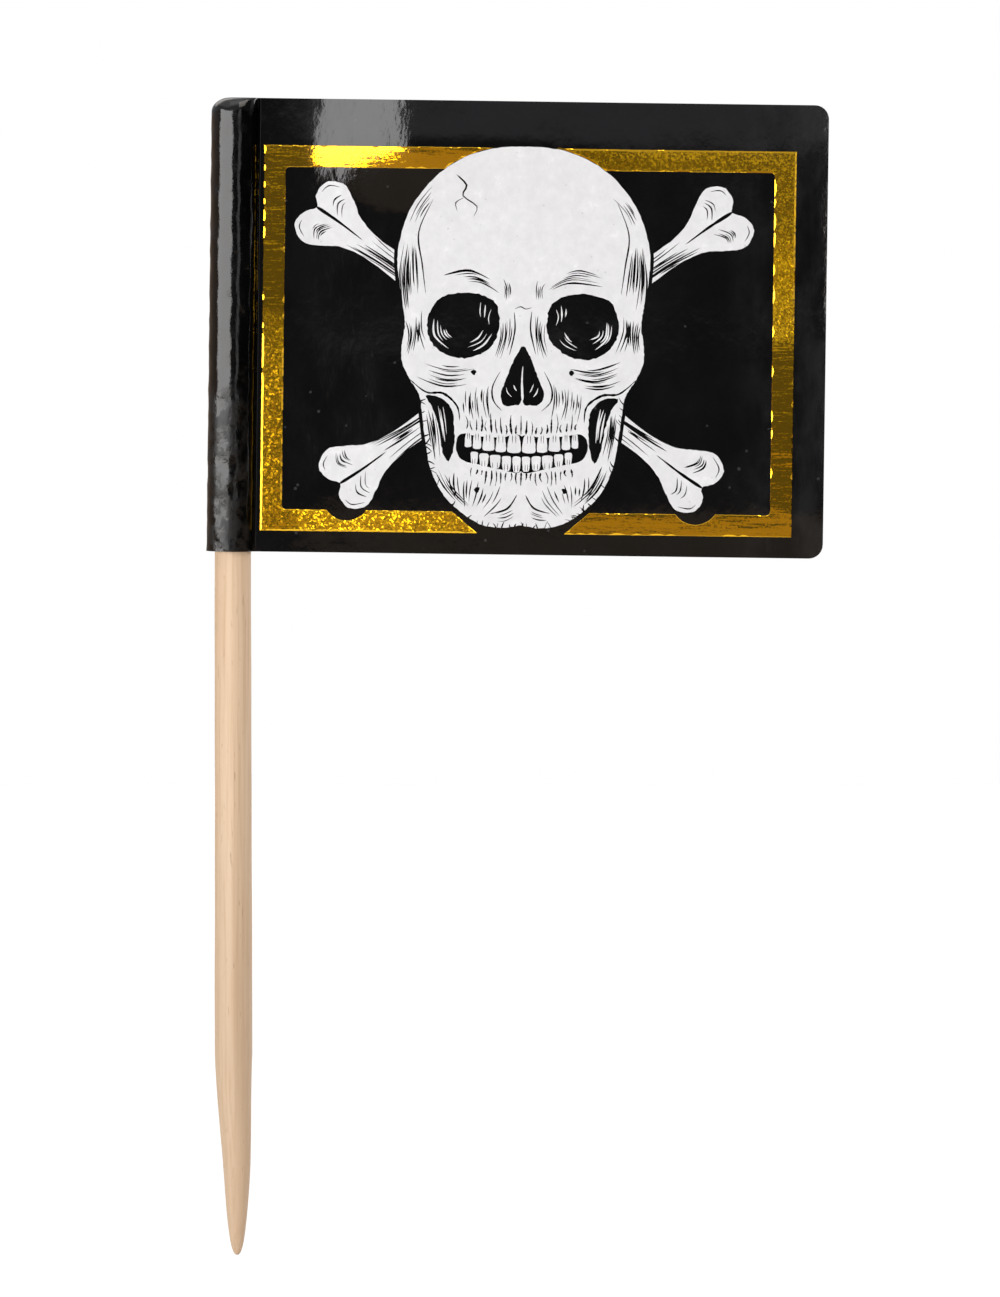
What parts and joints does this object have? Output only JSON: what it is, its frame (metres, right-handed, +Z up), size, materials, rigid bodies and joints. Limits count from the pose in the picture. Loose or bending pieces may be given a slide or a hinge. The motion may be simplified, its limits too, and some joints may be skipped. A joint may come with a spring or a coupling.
{
  "type": "flag pick",
  "caption": "Pointed wooden food pick with a black gloss paper flag folded round its blunt end, framed in gold foil and printed with a white skull and crossed bones on both faces.",
  "frame": {"origin": "on the stick's axis, level with the tip of its point", "axes": "+Z up the stick, +X along the flag from the stick to its free edge, -Y out of the front face of the flag"},
  "size_m": [0.0353, 0.0028, 0.0658],
  "materials": {
    "wood": "bare, fine grained, machine rounded",
    "black_paper": "black print under a gloss film",
    "glue": "dried adhesive",
    "gold_foil": "hot stamped gold foil, bright and finely wrinkled",
    "white_ink": "white print under a gloss film"
  },
  "bodies": {
    "root": {"stick": "wood", "flag_paper": "black_paper", "glue_film": "glue", "foil_front_near_stick": "gold_foil", "foil_front_free_end": "gold_foil", "foil_back_near_stick": "gold_foil", "foil_back_free_end": "gold_foil", "print_front": "white_ink", "print_back": "white_ink"}
  },
  "joints": []
}
